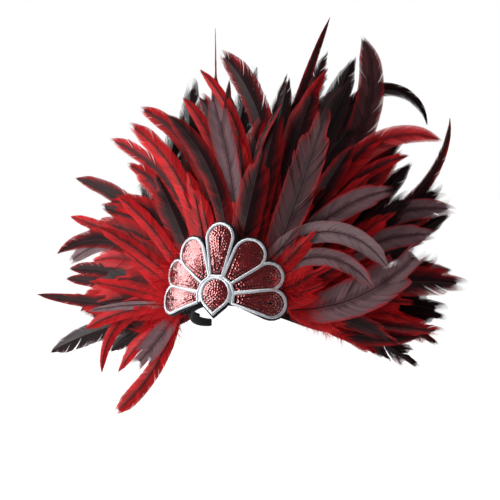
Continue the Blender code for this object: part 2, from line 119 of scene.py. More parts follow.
PLUMES: dict[Row, tuple[Plume, ...]] = {
    Row.FRONT: (
        Plume(-62, -143, 146, 17, 30, Dye.SCARLET, Tip.ROUND),
        Plume(-58, -137, 82, 23, 5, Dye.PLUM, Tip.ROUND),
        Plume(-60, -130, 112, 11, -25, Dye.SCARLET),
        Plume(-56, -126, 130, 15, -105, Dye.SCARLET, Tip.SPEAR),
        Plume(-50, -103, 126, 14, -30, Dye.SCARLET),
        Plume(-52, -88, 192, 15, 6, Dye.EDGED, Tip.SPEAR),
        Plume(-48, -95, 118, 9, -15, Dye.ASH),
        Plume(-44, -80, 120, 14, -10, Dye.SCARLET),
        Plume(-33, -73, 185, 27, -75, Dye.EDGED, Tip.SPEAR, curl=-10),
        Plume(-30, -56, 140, 15, -25, Dye.SCARLET),
        Plume(-24, -42, 152, 16, -30, Dye.SCARLET),
        Plume(-16, -27, 214, 20, -60, Dye.SCARLET, Tip.ROUND),
        Plume(4, -21, 216, 20, -62, Dye.EDGED),
        Plume(-10, -12, 142, 16, -20, Dye.SCARLET),
        Plume(13, -10, 224, 24, -22, Dye.PLUM, Tip.ROUND),
        Plume(10, 12, 168, 28, 8, Dye.EDGED),
        Plume(26, 21, 217, 36, -8, Dye.WINE, Tip.ROUND),
        Plume(36, 47, 197, 22, 70, Dye.PLUM, Tip.ROUND),
        Plume(34, 60, 128, 16, 30, Dye.SCARLET),
        Plume(44, 70, 184, 38, -50, Dye.PLUM, Tip.ROUND),
        Plume(24, 76, 182, 20, 150, Dye.ASH),
        Plume(27, 82, 158, 17, 130, Dye.PLUM),
        Plume(46, 84, 112, 15, 20, Dye.SCARLET),
        Plume(58, 103, 125, 23, 35, Dye.EDGED, Tip.ROUND),
    ),
    Row.SECOND: (
        Plume(-71, -122, 105, 15, -20, Dye.SCARLET),
        Plume(-67, -106, 197, 22, -18, Dye.BLACK),
        Plume(-47, -78, 165, 16, -30, Dye.EDGED),
        Plume(-38, -76, 168, 15, -100, Dye.ASH, Tip.ROUND),
        Plume(-33, -62, 192, 14, -30, Dye.SCARLET),
        Plume(-29, -52, 218, 20, -50, Dye.EDGED),
        Plume(-16, -37, 218, 18, -65, Dye.STRIPED, Tip.ROUND),
        Plume(-12, -26, 236, 18, -80, Dye.STRIPED, Tip.ROUND),
        Plume(-6, -15, 236, 14, -65, Dye.SCARLET),
        Plume(8, -13, 266, 13, -70, Dye.SCARLET),
        Plume(4, -3, 250, 9, 8, Dye.WINE),
        Plume(10, 5, 182, 22, 0, Dye.BLACK),
        Plume(18, 8, 202, 28, 10, Dye.EDGED, Tip.ROUND),
        Plume(10, 12, 228, 15, 50, Dye.EDGED),
        Plume(34, 28, 205, 22, 15, Dye.EDGED, Tip.ROUND),
        Plume(41, 36, 190, 18, 25, Dye.SCARLET),
        Plume(43, 41, 238, 14, 80, Dye.STRIPED),
        Plume(45, 34, 302, 21, 50, Dye.ROSE, curl=62),
        Plume(54, 61, 197, 21, 65, Dye.PLUM, Tip.ROUND),
        Plume(59, 79, 214, 27, 38, Dye.EDGED, Tip.ROUND),
        Plume(63, 92, 145, 14, 45, Dye.SCARLET),
        Plume(67, 98, 155, 19, -35, Dye.EDGED, Tip.SPEAR),
        Plume(71, 118, 95, 14, 20, Dye.SCARLET),
    ),
    Row.THIRD: (
        Plume(-79, -112, 130, 16, -25, Dye.BLACK),
        Plume(-62, -94, 162, 15, -75, Dye.BLACK),
        Plume(-52, -83, 182, 14, -14, Dye.EDGED),
        Plume(-44, -77, 135, 16, -45, Dye.EDGED),
        Plume(-38, -63, 172, 15, 5, Dye.BLACK),
        Plume(-24, -56, 178, 17, -45, Dye.EDGED, Tip.ROUND),
        Plume(-18, -28, 198, 13, -50, Dye.SCARLET),
        Plume(-10, -18, 190, 12, -60, Dye.PLUM),
        Plume(-6, -15, 222, 12, -50, Dye.SCARLET),
        Plume(5, -16, 240, 12, -60, Dye.WINE),
        Plume(-2, -8, 264, 13, -5, Dye.WINE),
        Plume(1, -9, 328, 7, 4, Dye.EDGED, Tip.SPEAR),
        Plume(18, -12, 290, 25, -70, Dye.EDGED, Tip.ROUND),
        Plume(18, 0, 230, 20, 0, Dye.BLACK),
        Plume(19, 6, 262, 22, 5, Dye.BLACK),
        Plume(26, 14, 280, 15, 35, Dye.SCARLET),
        Plume(49, 22, 352, 27, 10, Dye.WINE, curl=-55),
        Plume(28, 20, 282, 25, 10, Dye.BLACK),
        Plume(54, 31, 238, 19, 45, Dye.BLACK, Tip.ROUND),
        Plume(48, 36, 232, 20, 20, Dye.STRIPED),
        Plume(59, 53, 232, 20, 70, Dye.PLUM, Tip.ROUND, curl=15),
        Plume(56, 62, 186, 23, 40, Dye.BLACK),
        Plume(60, 66, 176, 17, 90, Dye.BLACK, curl=25),
        Plume(76, 101, 165, 22, 55, Dye.EDGED),
    ),
    Row.REAR: (
        Plume(-85, -108, 140, 18, -15, Dye.BLACK),
        Plume(-72, -82, 140, 18, -40, Dye.BLACK),
        Plume(-36, -58, 170, 18, -20, Dye.EDGED),
        Plume(-20, -39, 188, 11, -40, Dye.EDGED),
        Plume(-8, -19, 222, 17, -40, Dye.EDGED),
        Plume(8, -14, 304, 15, -75, Dye.EDGED),
        Plume(0, -6, 240, 20, -10, Dye.BLACK),
        Plume(14, 5, 270, 24, 20, Dye.FRAYED),
        Plume(20, 11, 312, 28, 14, Dye.FRAYED),
        Plume(26, 10, 352, 13, 18, Dye.EDGED, Tip.SPEAR),
        Plume(28, 17, 312, 28, 8, Dye.BLACK),
        Plume(58, 4, 372, 16, -16, Dye.BLACK, curl=190),
        Plume(60, 36, 225, 20, 15, Dye.BLACK),
        Plume(68, 43, 316, 16, 12, Dye.EDGED, Tip.SPEAR, curl=-55),
        Plume(75, 52, 215, 20, 25, Dye.BLACK),
        Plume(76, 71, 190, 16, 50, Dye.PLUM),
        Plume(81, 88, 170, 20, 20, Dye.BLACK),
        Plume(85, 117, 142, 25, 28, Dye.FRAYED),
        Plume(89, 121, 100, 13, 15, Dye.BLACK),
    ),
}


class Nodes:
    """Small builder round one node tree."""

    def __init__(self, tree: bpy.types.NodeTree):
        self.tree = tree

    def add(self, kind: str, **settings) -> bpy.types.Node:
        """Adds a node and sets its properties.

        Args:
            kind: The node's type name.
            settings: Properties to set on it.

        Returns:
            The new node.
        """
        node = self.tree.nodes.new(kind)
        for key, value in settings.items():
            setattr(node, key, value)
        return node

    def feed(self, socket: bpy.types.NodeSocket, value) -> None:
        """Links a socket, or sets a constant on it."""
        if isinstance(value, bpy.types.NodeSocket):
            self.tree.links.new(value, socket)
        elif isinstance(value, tuple) and len(value) == 3 and socket.type == "RGBA":
            socket.default_value = (*value, 1.0)
        else:
            socket.default_value = value

    def fill(self, node: bpy.types.Node, **values) -> bpy.types.Node:
        """Feeds several inputs of a node.

        Args:
            node: The node.
            values: Values or sockets by input, with underscores for spaces in its name.

        Returns:
            The same node.
        """
        for key, value in values.items():
            self.feed(node.inputs[key.replace("_", " ")], value)
        return node

    def calc(self, operation: str, first, second=0.0) -> bpy.types.NodeSocket:
        """One step of arithmetic."""
        node = self.add("ShaderNodeMath", operation=operation)
        self.feed(node.inputs[0], first)
        self.feed(node.inputs[1], second)
        return node.outputs[0]

    def ramp(self, value, low, high) -> bpy.types.NodeSocket:
        """A soft step from 0 at low to 1 at high."""
        node = self.add("ShaderNodeMapRange", interpolation_type="SMOOTHSTEP")
        for socket, given in zip(node.inputs, (value, low, high, 0.0, 1.0)):
            self.feed(socket, given)
        return node.outputs[0]

    def blend(self, share, first, second, mode: str = "MIX") -> bpy.types.NodeSocket:
        """A mix of two colours."""
        node = self.add("ShaderNodeMix", data_type="RGBA", blend_type=mode)
        for place, given in ((0, share), (6, first), (7, second)):
            self.feed(node.inputs[place], given)
        return node.outputs[2]

    def noise(self, vector, scale, detail: float = 3.0) -> bpy.types.NodeSocket:
        """Cloudy noise from 0 to 1."""
        node = self.add("ShaderNodeTexNoise")
        return self.fill(node, Vector=vector, Scale=scale, Detail=detail).outputs["Fac"]

    def bump(self, strength, height, distance: float) -> bpy.types.NodeSocket:
        """A normal that follows a height."""
        node = self.add("ShaderNodeBump")
        return self.fill(node, Strength=strength, Height=height, Distance=distance).outputs["Normal"]

    def lay(self) -> bpy.types.NodeSocket:
        """The mesh's own UV map."""
        return self.add("ShaderNodeUVMap", uv_map="Lay").outputs["UV"]

    def shade(self) -> bpy.types.NodeSocket:
        """How light each barb or sequin is."""
        return self.add("ShaderNodeAttribute", attribute_name="shade").outputs["Fac"]


class Effect:
    """A shader node group that several materials share."""

    def __init__(self, name: str, takes: dict[str, str], gives: dict[str, str]):
        self.tree = bpy.data.node_groups.new(name, "ShaderNodeTree")
        for way, sockets in (("INPUT", takes), ("OUTPUT", gives)):
            for label, kind in sockets.items():
                self.tree.interface.new_socket(label, in_out=way, socket_type=f"NodeSocket{kind}")
        self.nodes = Nodes(self.tree)
        self.taken = self.nodes.add("NodeGroupInput").outputs
        self.end = self.nodes.add("NodeGroupOutput")

    def give(self, **values) -> None:
        """Links the effect's outputs."""
        self.nodes.fill(self.end, **values)

    def use(self, nodes: Nodes, **values) -> bpy.types.NodeOutputs:
        """Puts the effect into a material.

        Args:
            nodes: The material's builder.
            values: Values or sockets for the effect's inputs, spaces as underscores.

        Returns:
            The outputs of the group node.
        """
        node = nodes.add("ShaderNodeGroup", node_tree=self.tree)
        return nodes.fill(node, **values).outputs


def make_vane_zones() -> Effect:
    """Masks over a feather's vane, from its own UV map."""
    made = Effect(
        "Vane Zones",
        {"Vane": "Vector", "Shade": "Float", "Rim Start": "Float", "Heart Width": "Float",
         "Root Reach": "Float"},
        {"Rim": "Float", "Heart": "Float", "Root": "Float", "Mottle": "Float"},
    )
    uneven, rim_soft, heart_soft, root_low, root_high = 0.22, 0.12, 0.22, 0.45, 1.35
    n, taken = made.nodes, made.taken
    split = n.add("ShaderNodeSeparateXYZ")
    n.feed(split.inputs[0], taken["Vane"])
    across = n.calc("MULTIPLY", n.calc("ABSOLUTE", n.calc("SUBTRACT", split.outputs[0], 0.5)), 2.0)
    ragged = n.calc("MULTIPLY", n.calc("SUBTRACT", taken["Shade"], 0.5), uneven)
    side = n.calc("ADD", across, ragged)
    start, width = taken["Rim Start"], taken["Heart Width"]
    rim = n.ramp(side, n.calc("SUBTRACT", start, rim_soft), n.calc("ADD", start, rim_soft))
    heart = n.ramp(side, width, n.calc("ADD", width, heart_soft))
    reach = n.calc("ADD", taken["Root Reach"], ragged)
    root = n.ramp(split.outputs[1], n.calc("MULTIPLY", reach, root_low), n.calc("MULTIPLY", reach, root_high))
    made.give(
        Rim=rim,
        Heart=n.calc("SUBTRACT", 1.0, heart),
        Root=n.calc("SUBTRACT", 1.0, root),
        Mottle=n.noise(taken["Vane"], 7.0, 2.0),
    )
    return made


def make_soft_relief() -> Effect:
    """A fine fibrous surface, as a normal and a mask."""
    made = Effect(
        "Soft Relief",
        {"Place": "Vector", "Size": "Float", "Strength": "Float"},
        {"Normal": "Vector", "Fibres": "Float"},
    )
    n, taken = made.nodes, made.taken
    fibres = n.noise(taken["Place"], taken["Size"], 4.0)
    made.give(Normal=n.bump(taken["Strength"], fibres, 0.3 * MM), Fibres=fibres)
    return made


def make_thread_lines() -> Effect:
    """Parallel threads across a band, from its own UV map: V counts centimetres."""
    made = Effect(
        "Thread Lines",
        {"Lay": "Vector", "Count": "Float", "Slant": "Float", "Strength": "Float"},
        {"Normal": "Vector", "Threads": "Float"},
    )
    waver = 0.06
    n, taken = made.nodes, made.taken
    split = n.add("ShaderNodeSeparateXYZ")
    n.feed(split.inputs[0], taken["Lay"])
    slant = n.calc("MULTIPLY", split.outputs[0], taken["Slant"])
    cloud = n.calc("MULTIPLY", n.noise(taken["Lay"], 6.0, 2.0), waver)
    run = n.calc("ADD", n.calc("ADD", split.outputs[1], slant), cloud)
    pace = n.calc("MULTIPLY", taken["Count"], math.pi)
    wave = n.calc("ABSOLUTE", n.calc("SINE", n.calc("MULTIPLY", run, pace)))
    made.give(Normal=n.bump(taken["Strength"], wave, 0.25 * MM), Threads=wave)
    return made


def new_material(name: str) -> tuple[bpy.types.Material, Nodes, bpy.types.Node]:
    """A new material with its builder and its Principled shader."""
    material = bpy.data.materials.new(name)
    material.use_nodes = True
    return material, Nodes(material.node_tree), material.node_tree.nodes["Principled BSDF"]


class Workshop:
    """Holds the shared effects and the materials, each built once."""

    def __init__(self) -> None:
        self.zones = make_vane_zones()
        self.relief = make_soft_relief()
        self.threads = make_thread_lines()
        self.made: dict[str, bpy.types.Material] = {}

    def get(self, finish: Finish) -> bpy.types.Material:
        """The material of a finish, made when it is first asked for."""
        if finish.name not in self.made:
            material, nodes, shader = new_material(finish.name)
            nodes.fill(shader, **finish.look(self, nodes))
            self.made[finish.name] = material
        return self.made[finish.name]


@dataclass(frozen=True)
class Finish:
    """A named look; each kind says what its Principled shader takes."""

    name: str

    def look(self, shop: Workshop, n: Nodes) -> dict:
        """What the shader's inputs are fed with.

        Args:
            shop: Holds the shared effects.
            n: The material's builder.

        Returns:
            Values or sockets by input, spaces as underscores.
        """
        raise NotImplementedError


@dataclass(frozen=True)
class VaneFinish(Finish):
    """Dyed vane: middle, body, edge and root colours and how far each reaches.

    Fray is how uneven the barbs are, and cupped is how far the vane's sides bend back.
    """

    heart: Colour
    body: Colour
    rim: Colour
    root: Colour
    heart_width: float
    rim_start: float
    root_reach: float
    roughness: float = 0.55
    depth: float = 0.5
    fray: float = 0.013
    cupped: float = 0.16

    def look(self, shop: Workshop, n: Nodes) -> dict:
        """Zones of dye, lighter and darker from barb to barb."""
        lay, shade = n.lay(), n.shade()
        zones = shop.zones.use(n, Vane=lay, Shade=shade, Rim_Start=self.rim_start,
                               Heart_Width=self.heart_width, Root_Reach=self.root_reach)
        colour = n.blend(zones["Heart"], self.body, self.heart)
        colour = n.blend(zones["Rim"], colour, self.rim)
        colour = n.blend(zones["Root"], colour, self.root)
        cloud = n.calc("ADD", n.calc("MULTIPLY", shade, 0.7), n.calc("MULTIPLY", zones["Mottle"], 0.5))
        tone = n.blend(n.ramp(cloud, 0.2, 0.95), (1 - self.depth,) * 3, WHITE)
        colour = n.blend(1.0, colour, tone, "MULTIPLY")
        return {"Base_Color": colour, "Roughness": self.roughness, "Specular_IOR_Level": 0.14}


@dataclass(frozen=True)
class QuillFinish(Finish):
    """A feather's shaft, or another plain part with a cloudy tone."""

    colour: Colour
    roughness: float

    def look(self, shop: Workshop, n: Nodes) -> dict:
        """One colour with darker clouds."""
        tone = n.blend(n.noise(n.lay(), 9.0), tuple(c * 0.6 for c in self.colour), self.colour)
        return {"Base_Color": tone, "Roughness": self.roughness, "Specular_IOR_Level": 0.15}


@dataclass(frozen=True)
class FeltFinish(Finish):
    """Felt, or another matt cloth, with a fibrous surface."""

    colour: Colour
    size: float
    strength: float
    sheen: float

    def look(self, shop: Workshop, n: Nodes) -> dict:
        """Lighter fibres over a matt ground."""
        place = n.add("ShaderNodeTexCoord").outputs["Object"]
        relief = shop.relief.use(n, Place=place, Size=self.size, Strength=self.strength)
        light = tuple(min(1.0, c * 1.9) for c in self.colour)
        tone = n.blend(relief["Fibres"], self.colour, light)
        return {"Base_Color": tone, "Normal": relief["Normal"], "Roughness": 0.92,
                "Specular_IOR_Level": 0.12, "Sheen_Weight": self.sheen}


@dataclass(frozen=True)
class StitchFinish(Finish):
    """Satin stitch or woven ribbon: threads across the band."""

    colour: Colour
    shadow: Colour
    count: float
    slant: float
    strength: float
    roughness: float
    metallic: float
    gloss: float

    def look(self, shop: Workshop, n: Nodes) -> dict:
        """Threads with shadow between them."""
        threads = shop.threads.use(n, Lay=n.lay(), Count=self.count, Slant=self.slant, Strength=self.strength)
        tone = n.blend(n.ramp(threads["Threads"], 0.05, 0.6), self.shadow, self.colour)
        return {"Base_Color": tone, "Normal": threads["Normal"], "Roughness": self.roughness,
                "Metallic": self.metallic, "Specular_IOR_Level": self.gloss}


@dataclass(frozen=True)
class SequinFinish(Finish):
    """Translucent gloss cups, each a little lighter or darker than the next."""

    deep: Colour
    bright: Colour
    metallic: float
    roughness: float

    def look(self, shop: Workshop, n: Nodes) -> dict:
        """Metal film under a clear coat."""
        tone = n.blend(n.shade(), self.deep, self.bright)
        return {"Base_Color": tone, "Roughness": self.roughness, "Metallic": self.metallic,
                "Specular_IOR_Level": 0.3, "Coat_Weight": 1.0, "Coat_Roughness": 0.12, "Coat_IOR": 2.0}


VANES: dict[Dye, VaneFinish] = {Dye(finish.name): finish for finish in (
    VaneFinish("feather_scarlet", (0.20, 0.003, 0.006), (0.52, 0.005, 0.009), (0.66, 0.007, 0.012),
               (0.72, 0.008, 0.014), 0.10, 0.60, 0.42),
    VaneFinish("feather_striped", (0.085, 0.004, 0.007), (0.36, 0.004, 0.008), (0.60, 0.007, 0.012),
               (0.66, 0.007, 0.012), 0.20, 0.64, 0.36),
    VaneFinish("feather_edged", (0.022, 0.004, 0.006), (0.11, 0.004, 0.007), (0.36, 0.005, 0.009),
               (0.50, 0.005, 0.009), 0.34, 0.74, 0.34),
    VaneFinish("feather_rose", (0.34, 0.008, 0.014), (0.60, 0.028, 0.036), (0.74, 0.070, 0.080),
               (0.66, 0.008, 0.014), 0.18, 0.6, 0.30),
    VaneFinish("feather_plum", (0.115, 0.056, 0.066), (0.215, 0.115, 0.130), (0.44, 0.026, 0.036),
               (0.55, 0.008, 0.014), 0.14, 0.88, 0.24, 0.6, 0.35, 0.010, -0.18),
    VaneFinish("feather_wine", (0.036, 0.010, 0.013), (0.085, 0.022, 0.027), (0.36, 0.008, 0.013),
               (0.50, 0.006, 0.010), 0.16, 0.86, 0.28, 0.55, 0.4, 0.010, -0.14),
    VaneFinish("feather_ash", (0.16, 0.095, 0.108), (0.27, 0.175, 0.19), (0.33, 0.14, 0.155),
               (0.46, 0.010, 0.016), 0.12, 0.88, 0.20, 0.6, 0.35, 0.010, -0.16),
    VaneFinish("feather_black", (0.008, 0.003, 0.004), (0.018, 0.005, 0.007), (0.060, 0.006, 0.009),
               (0.22, 0.004, 0.008), 0.30, 0.84, 0.16, 0.42, 0.5, 0.015),
    VaneFinish("feather_frayed", (0.010, 0.004, 0.005), (0.026, 0.006, 0.009), (0.11, 0.007, 0.011),
               (0.22, 0.004, 0.008), 0.30, 0.72, 0.16, 0.45, 0.5, 0.09),
)}
FELT = FeltFinish("felt_black", (0.010, 0.011, 0.014), 900.0, 0.9, 0.06)
TAPE = FeltFinish("tape_black", (0.010, 0.008, 0.010), 700.0, 0.6, 0.0)
BAND_CLOTH = StitchFinish(
    "band_cloth", (0.009, 0.009, 0.011), (0.003, 0.003, 0.004), 14.0, 0.0, 0.5, 0.7, 0.0, 0.1)
SATIN = StitchFinish(
    "stitch_silver", (0.56, 0.575, 0.61), (0.15, 0.155, 0.17), 11.0, 0.05, 0.9, 0.28, 1.0, 0.5)
SEQUINS = SequinFinish("sequin_red", (0.13, 0.0, 0.002), (0.44, 0.002, 0.006), 0.6, 0.22)
# Painted shade: a dark dish fills each sequin's hole. It stands in both for the dark felt seen through the hole
# and for the shade inside the hole.
HOLE_SHADE = QuillFinish("sequin_eyelet", (0.14, 0.001, 0.004), 0.6)
SHAFT_DARK = QuillFinish("shaft_dark", (0.055, 0.005, 0.007), 0.5)


def link(name: str, data: bpy.types.ID) -> bpy.types.Object:
    """Puts a new object with its data into the scene."""
    made = bpy.data.objects.new(name, data)
    bpy.context.scene.collection.objects.link(made)
    return made


class Pile:
    """Collects many small shapes as arrays and makes one mesh of them."""

    def __init__(self, materials: list[bpy.types.Material]):
        self.materials = materials
        self.parts: list[tuple[np.ndarray, ...]] = []
        self.count = 0

    def add_grids(
        self,
        grids: np.ndarray,
        slot: int,
        lays: np.ndarray | None = None,
        shades: np.ndarray | None = None,
        closed: bool = False,
    ) -> None:
        """Adds n grids of k by m points.

        Args:
            grids: Points, shaped (n, k, m, 3).
            slot: Index of the material.
            lays: UV pairs, shaped (n, k, m, 2), or none for zeros.
            shades: One value for each grid, shaped (n,), or none for halves.
            closed: True if the last column joins the first.
        """
        n, k, m, _ = grids.shape
        index = np.arange(n * k * m).reshape(n, k, m)
        if closed:
            index = np.concatenate([index, index[:, :, :1]], axis=2)
        corners = (index[:, :-1, :-1], index[:, :-1, 1:], index[:, 1:, 1:], index[:, 1:, :-1])
        quads = np.stack(corners, axis=-1).reshape(-1, 4) + self.count
        flat_lays = np.zeros((n * k * m, 2)) if lays is None else lays.reshape(-1, 2)
        each_shade = np.repeat(np.full(n, 0.5) if shades is None else shades, k * m)
        slots = np.full(len(quads), slot)
        self.parts.append((grids.reshape(-1, 3), quads, flat_lays, each_shade, slots))
        self.count += n * k * m

    def build(self, name: str) -> bpy.types.Object:
        """Makes the object.

        Args:
            name: Name of the object and its mesh.

        Returns:
            The object, linked to the scene.
        """
        points, quads, lays, shades, slots = (np.concatenate(part) for part in zip(*self.parts))
        mesh = bpy.data.meshes.new(name)
        mesh.from_pydata(points.tolist(), [], quads.tolist())
        for material in self.materials:
            mesh.materials.append(material)
        mesh.polygons.foreach_set("material_index", slots.astype(np.int32))
        mesh.polygons.foreach_set("use_smooth", np.ones(len(quads), bool))
        layer = mesh.uv_layers.new(name="Lay")
        layer.data.foreach_set("uv", lays[quads.reshape(-1)].reshape(-1).astype(np.float32))
        shade = mesh.attributes.new("shade", "FLOAT", "POINT")
        shade.data.foreach_set("value", shades.astype(np.float32))
        mesh.update()
        return link(name, mesh)


def settle(made: bpy.types.Object, slot: str, *nodes: str) -> bpy.types.Object:
    """Hangs a piece on the frame in place of the solids it dresses."""
    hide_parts(*nodes)
    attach(made, "root")
    log.info("%s: %d faces", made.name, len(made.data.polygons))
    return made


@dataclass(frozen=True)
class HeadRing:
    """The line round the head that the rows are sewn to."""

    half_width: float = 80 * MM
    half_depth: float = 97 * MM
    wall: float = 2.6 * MM
    front_up: float = 27 * MM
    fall: float = 42 * MM
    ear_turn: float = 1.6
    gap: float = 0.35 * MM
    strip: float = 2.2 * MM
    pitch: float = 3.2 * MM

    def height(self, angle: float) -> float:
        """Height of the rows at an angle round the head, in radians."""
        return self.front_up - self.fall * (1 - math.cos(min(math.pi, abs(angle) * self.ear_turn))) / 2

    def outward(self, angle: float) -> np.ndarray:
        """Unit vector away from the head."""
        way = np.array([math.sin(angle) / self.half_width, -math.cos(angle) / self.half_depth, 0.0])
        return way / np.linalg.norm(way)

    def point(self, angle: float, out: float, height: float) -> np.ndarray:
        """A point outside the head's line."""
        base = np.array([self.half_width * math.sin(angle), -self.half_depth * math.cos(angle), height])
        return base + self.outward(angle) * out

    def root(self, row: Row, degrees: float) -> np.ndarray:
        """Where a feather of a row is sewn."""
        angle = math.radians(degrees)
        out = self.wall + self.gap + self.strip / 2 + row.stand_off * self.pitch
        return self.point(angle, out, self.height(angle) - row.drop)


@dataclass(frozen=True)
class Fan:
    """How the whole fan spreads, and how finely its feathers are drawn."""

    ring: HeadRing = HeadRing()
    crown_lean: float = 10.0
    uneven: float = 0.15
    crown_stretch: float = 0.07
    crown_sway: float = -6.0
    curl_start: float = 0.62
    straight: float = 0.05
    tip_start: float = 0.91
    fullness: float = 1.18
    steps: int = 96
    barb_pitch: float = 0.85 * MM
    barbs_from: float = 0.05
    barbs_to: float = 0.985
    barb_slopes: tuple[float, float, float] = (0.9, 1.25, 1.9)
    least_barbs: int = 12
    least_half: float = 0.8 * MM
    clump: tuple[int, int] = (5, 22)
    clump_lift: float = 0.05
    barb_lift: float = 0.012
    barb_split: float = 2.2
    barb_apart: float = 0.07 * MM
    tone_stray: float = 0.16
    roll: float = 0.10
    twist: float = 0.32
    filler_twist: float = 0.25
    shaft_root: float = 1.0 * MM
    shaft_tip: float = 0.28 * MM
    shaft_steps: int = 34


# Shares of a barb's or strand's length at which it is drawn, and its thickness there.
BARB_STEPS = np.array([0.0, 0.34, 0.68, 1.0])
BARB_THICK = np.array([1.4, 1.35, 1.25, 0.8])
DOWN_STEPS = np.array([0.0, 0.35, 0.7, 1.0])
DOWN_HALF = np.array([0.30, 0.26, 0.18, 0.05]) * MM
EDGES = ((0, -1), (1, 1))


class Quill:
    """The centre line of one feather, with its frame at each step."""

    def __init__(self, fan: Fan, row: Row, plume: Plume, level: int, roll: float, twist: float):
        side = math.sin(math.radians(plume.aim))
        crown = max(0.0, math.cos(math.radians(plume.aim)))
        self.length = plume.length * MM * (1 - fan.uneven * side + fan.crown_stretch * crown)
        chord = abs(math.radians(plume.bend)) / 2
        self.length *= chord / math.sin(chord) if chord > fan.straight else 1.0
        share = np.linspace(0, 1, fan.steps + 1)
        ending = np.maximum(0, (share - fan.curl_start) / (1 - fan.curl_start))
        aim = np.radians(plume.aim + fan.crown_sway * crown + plume.bend * (share - 0.5) + plume.curl * ending)
        lean = np.radians(row.lean + row.level * level + fan.crown_lean * np.maximum(0, np.cos(aim)))
        self.along = np.stack([np.sin(aim) * np.cos(lean), np.sin(lean), np.cos(aim) * np.cos(lean)], 1)
        self.side = np.stack([np.cos(aim), 0 * aim, -np.sin(aim)], 1)
        facing = np.cross(self.side, self.along)
        middle = (self.along[1:] + self.along[:-1]) / 2
        start = fan.ring.root(row, plume.root)
        self.path = start + np.concatenate([np.zeros((1, 3)), np.cumsum(middle, 0)]) * self.length / fan.steps
        turn = (roll + twist * share**1.5)[:, None]
        turned = self.side * np.cos(turn) + facing * np.sin(turn)
        self.face = facing * np.cos(turn) - self.side * np.sin(turn)
        self.side = turned
        self.steps = fan.steps

    def sample(self, table: np.ndarray, share: np.ndarray) -> np.ndarray:
        """Reads a table of the line at shares of its length."""
        place = np.clip(share, 0, 1) * self.steps
        low = np.minimum(place.astype(int), self.steps - 1)
        part = (place - low)[..., None]
        return table[low] * (1 - part) + table[low + 1] * part

    def at(self, share: np.ndarray, across: np.ndarray, lift: np.ndarray) -> np.ndarray:
        """Points beside and above the line; past its end the line runs straight."""
        beyond = np.maximum(0, share - 1)[..., None] * self.length
        return (
            self.sample(self.path, share)
            + self.sample(self.along, share) * beyond
            + self.sample(self.side, share) * across[..., None]
            + self.sample(self.face, share) * lift[..., None]
        )


